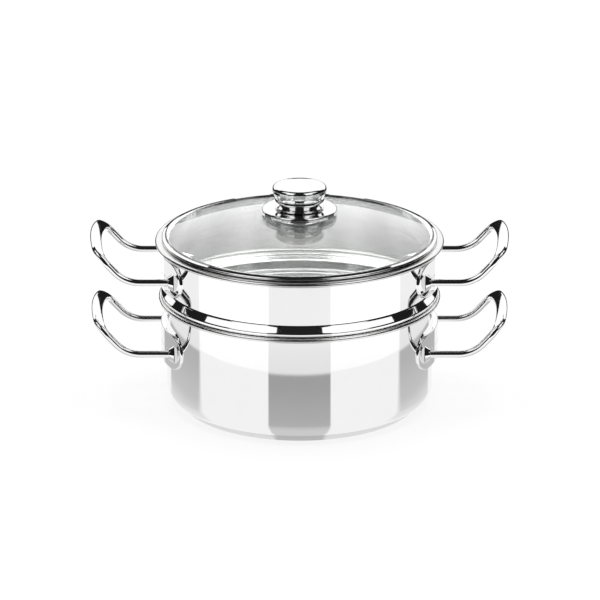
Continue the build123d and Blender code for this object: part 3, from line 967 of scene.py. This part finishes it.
class STEAMER_OT_small_parts(bpy.types.Operator):
    """Finish the washers, the screw and the disc inside the base, which stay as the frame has them"""
    bl_idname = "steamer.small_parts"
    bl_label = "Washers, screw and core"

    def execute(self, context):
        finishes = {"lid_seal_lower": "soft_washer", "lid_seal_upper": "soft_washer",
                    "knob_screw": "plain_screw_steel", "pot_base_core": "rolled_aluminium"}
        for node, name in finishes.items():
            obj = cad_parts[node]
            for slot in obj.material_slots:
                slot.material = bpy.data.materials[name]
        return {"FINISHED"}


# ---------------------------------------------------------------- studio

def stage_object(bm, name, material, camera=True, glossy=True, diffuse=True, shadow=True):
    """A piece of the studio, with the kinds of rays that see it."""
    obj = add_to_scene(bm, name)
    obj.data.materials.append(material)
    obj.data.shade_smooth()
    obj.visible_camera, obj.visible_glossy = camera, glossy
    obj.visible_diffuse, obj.visible_shadow = diffuse, shadow
    return obj


def sky_card(name, material, first, last, low, high, radius, rows=24, columns=48):
    """Part of a dome round the object, between two turns from the front and two heights."""
    bm = bmesh.new()
    centre = Vector((0, 0, 100 * MM))
    start = bm.verts.new(centre + Vector((0, -math.cos(low), math.sin(low))) * radius)
    spin(bm, [start], (-1, 0, 0), high - low, rows, centre=centre)
    rotate(bm, first)
    spin(bm, bm.verts[:] + bm.edges[:], (0, 0, 1), last - first, columns)
    return stage_object(bm, name, material, camera=False, diffuse=False, shadow=False)


def glow_material(name, glow):
    """A material that only shines; glow gives its brightness from its node tree."""
    material = bpy.data.materials.new(name)
    material.use_nodes = True
    tree = material.node_tree
    tree.nodes.clear()
    light = add(tree, "Emission", Strength=glow(tree))
    give(tree, add(tree, "OutputMaterial"), Surface=light.outputs[0])
    return material


def through_glass(tree):
    """1 for rays that have gone through the glass, else 0."""
    return add(tree, "LightPath").outputs["Is Transmission Ray"]


def dark_room(name, studio):
    """Dark walls round the studio, a little lighter overhead. Through the glass the room is light above."""
    first, last, last_inside = 1.3, 2.4, 1.8  # heights in metres between which the room turns light

    def glow(tree):
        height = add(tree, "SeparateXYZ", Vector=object_point(tree)).outputs["Z"]
        inside = between(tree, height, first, last_inside, 0.0, studio.top_inside)
        plain = between(tree, height, first, last, studio.dark, studio.overhead)
        return maths(tree, "ADD", plain, maths(tree, "MULTIPLY", through_glass(tree), inside))

    return glow_material(name, glow)


def past_line(tree, x, y, wall, turn, soft):
    """0 before and 1 beyond the line on the table that the round wall shows at that turn from the front."""
    across = maths(tree, "ADD", maths(tree, "MULTIPLY", maths(tree, "ABSOLUTE", x), math.cos(turn)),
                   maths(tree, "MULTIPLY", y, math.sin(turn)))
    line = -wall * math.sin(turn / 2)
    return between(tree, across, line - soft, line + soft, 0.0, 1.0)


def painted_table_reflection(name, studio, wall):
    """Painted reflection of the table, on a glowing disc that only the polished steel sees: a dim disc round the
    pot, painted lighter close to it, the paler table beyond, and on both sides painted light that stands in for the
    light of the white panels."""
    disc = studio.disc
    slope_tone = 0.08  # how much lighter the disc is painted towards the pot
    side_gain = 0.3  # how much lighter it is painted beside the pot
    first_pale = 0.8  # share of the pale tone reached at the disc's edge
    painted_light_tone, painted_light_beyond = 0.94, 0.3  # painted light of the white panels: the tone it gives the disc, and what it adds beyond it
    contact = studio.contact_tone - studio.disc_tone - slope_tone

    def glow(tree):
        parts = add(tree, "SeparateXYZ", Vector=object_point(tree))
        x, y = parts.outputs["X"], parts.outputs["Y"]
        reach = maths(tree, "SQRT", maths(tree, "ADD", maths(tree, "MULTIPLY", x, x),
                                          maths(tree, "MULTIPLY", y, y)))
        side = past_line(tree, x, y, wall, studio.side, 8 * MM)
        front = maths(tree, "MULTIPLY", past_line(tree, x, y, wall, studio.front, 2 * MM),
                      maths(tree, "SUBTRACT", 1.0, side))
        behind = maths(tree, "MULTIPLY", side, past_line(tree, x, y, wall, studio.rear_side, 6 * MM))
        # painted light of the white panels, at the sides and behind
        painted_panel_light = maths(tree, "ADD", front, behind, clamp=True)
        close = between(tree, reach, disc * 0.4, disc * 0.6, contact, 0.0)
        slope = between(tree, reach, disc * 0.5, disc * 0.95, slope_tone, 0.0)
        far = maths(tree, "ADD", between(tree, reach, disc * 0.97, disc * 1.01, 0.0, first_pale),
                    between(tree, reach, disc, disc * 1.5, 0.0, 1.0 - first_pale))
        near = maths(tree, "ADD", maths(tree, "ADD", close, slope), studio.disc_tone)
        near = maths(tree, "MULTIPLY", near,
                     maths(tree, "ADD", 1.0, maths(tree, "MULTIPLY", side, side_gain)))
        tone = maths(tree, "ADD", near,
                     maths(tree, "MULTIPLY", far, maths(tree, "SUBTRACT", studio.table_tone, near)))
        extra = maths(tree, "MAXIMUM", maths(tree, "SUBTRACT", painted_light_tone, tone),
                      maths(tree, "MULTIPLY", far, painted_light_beyond))
        return maths(tree, "ADD", tone, maths(tree, "MULTIPLY", extra, painted_panel_light))

    return glow_material(name, glow)


def seen_table(name, studio):
    """The pale table top that the camera sees, almost plain white, with the faint shadow of the pot."""
    material, tree, shader = new_material(name)
    give(tree, shader, Roughness=1.0, Specular_IOR_Level=0.0,
         Base_Color=shaded(tree, studio.table, noise(tree, object_point(tree), 4.0), 0.995))
    both = add(tree, "MixShader", Fac=studio.glow)
    tree.links.new(shader.outputs[0], both.inputs[1])
    tree.links.new(add(tree, "Emission", Strength=1.0).outputs[0], both.inputs[2])
    give(tree, tree.nodes["Material Output"], Surface=both.outputs[0])
    return material


def disc(radius, steps):
    bm = bmesh.new()
    bmesh.ops.create_circle(bm, cap_ends=True, radius=radius, segments=steps)
    return bm


class STEAMER_OT_studio(bpy.types.Operator):
    """Set up the table, the light and the dark cards round the object"""
    bl_idname = "steamer.studio"
    bl_label = "Studio"

    def execute(self, context):
        studio, wall = context.scene.steamer_studio, context.scene.steamer_vessels.wall
        stage_object(disc(studio.table_reach, 96), "table", seen_table("pale_table", studio), glossy=False)
        # a glowing disc that only gloss sees, with the painted reflection of the table
        shown = painted_table_reflection("painted_reflection_disc", studio, wall)
        shown = stage_object(disc(studio.edge, 192), "painted_reflection_disc", shown, camera=False, diffuse=False,
                             shadow=False)
        shown.visible_transmission = False

        white = glow_material("white_panel", lambda tree: between(
            tree, through_glass(tree), 0.0, 1.0, studio.panel, studio.panel_inside))
        reach = studio.card_reach
        sky_card("dark_dome", dark_room("dark_room", studio), 0.0, FULL, studio.room_low, math.pi / 2,
                 studio.room_reach)
        for side, name in ((1, "right"), (-1, "left")):
            for part, first, last, low, high in (
                    ("panel", studio.front, studio.step, studio.panel_foot, studio.panel_top),
                    ("side_panel", studio.step, studio.side, studio.panel_low, studio.panel_top),
                    ("inside", studio.front, studio.side, 0.0, studio.panel_low)):
                first, last = sorted((side * first, side * last))
                card = sky_card(f"{part}_{name}", white, first, last, low, high, reach)
                card.visible_glossy = part != "inside"
        sky_card("backdrop_panel", white, math.pi - studio.rear, math.pi + studio.rear,
                 studio.rear_low, studio.rear_top, reach)

        lamp = bpy.data.lights.new("overhead", "SUN")
        lamp.energy, lamp.angle = studio.sun, studio.sun_size
        overhead = bpy.data.objects.new("overhead", lamp)
        overhead.visible_glossy = overhead.visible_transmission = False
        context.scene.collection.objects.link(overhead)

        # the camera and the glass see a white surrounding; everything is lit by a weaker one
        world = bpy.data.worlds.new("white_studio")
        world.use_nodes = True
        tree = world.node_tree
        rays = add(tree, "LightPath")
        seen = maths(tree, "MAXIMUM", rays.outputs["Is Camera Ray"], rays.outputs["Is Transmission Ray"])
        give(tree, tree.nodes["Background"], Color=(1, 1, 1, 1), Strength=maths(tree, "MAXIMUM", seen, studio.fill))
        context.scene.world = world
        context.scene.view_settings.view_transform = "Standard"
        return {"FINISHED"}


class STEAMER_OT_camera(bpy.types.Operator):
    """Place the camera at the photograph's angle"""
    bl_idname = "steamer.camera"
    bl_label = "Camera"

    def execute(self, context):
        data = bpy.data.cameras.new("camera")
        data.lens, data.sensor_width = 240.0, 36.0
        data.clip_end = 50.0
        data.shift_x = 0.0008
        camera = bpy.data.objects.new("camera", data)
        target = Vector((0, 0, 0.096))
        place = Vector((0, -3.4354, 1.2870))
        aim = (target - place).to_track_quat("-Z", "Y").to_matrix().to_4x4()
        camera.matrix_world = Matrix.Translation(place) @ aim
        context.scene.collection.objects.link(camera)
        context.scene.camera = camera
        return {"FINISHED"}


class STEAMER_PT_panel(bpy.types.Panel):
    """All steps of the steamer pot, in their order"""
    bl_idname = "STEAMER_PT_panel"
    bl_label = "Steamer pot"
    bl_space_type = "VIEW_3D"
    bl_region_type = "UI"
    bl_category = "Steamer pot"

    def draw(self, context):
        for step in STEPS:
            self.layout.operator(step.bl_idname)
        for group in GROUPS:
            box = self.layout.box()
            settings = getattr(context.scene, group)
            for prop in settings.bl_rna.properties:
                name = prop.identifier
                if name not in {"name", "rna_type"}:
                    box.prop(settings, name, text=name.replace("_", " ").capitalize())


GROUPS = {"steamer_vessels": VesselSizes, "steamer_handles": HandleSizes,
          "steamer_plates": PlateSizes, "steamer_lid": LidSizes, "steamer_knob": KnobSizes,
          "steamer_finishes": Finishes, "steamer_studio": StudioLook}
STEPS = (STEAMER_OT_finishes, STEAMER_OT_pot_shell, STEAMER_OT_pot_base, STEAMER_OT_steamer_shell,
         STEAMER_OT_handles, STEAMER_OT_handle_plates, STEAMER_OT_lid_glass, STEAMER_OT_lid_band,
         STEAMER_OT_lid_hub, STEAMER_OT_knob, STEAMER_OT_small_parts, STEAMER_OT_studio, STEAMER_OT_camera)


def register():
    for name, group in GROUPS.items():
        bpy.utils.register_class(group)
        setattr(bpy.types.Scene, name, PointerProperty(type=group))
    for step in STEPS + (STEAMER_PT_panel,):
        bpy.utils.register_class(step)


def unregister():
    for step in reversed(STEPS + (STEAMER_PT_panel,)):
        bpy.utils.unregister_class(step)
    for name, group in reversed(GROUPS.items()):
        delattr(bpy.types.Scene, name)
        bpy.utils.unregister_class(group)


def main():
    register()
    for step in STEPS:
        family, name = step.bl_idname.split(".")
        getattr(getattr(bpy.ops, family), name)()


if __name__ == "__main__":
    main()
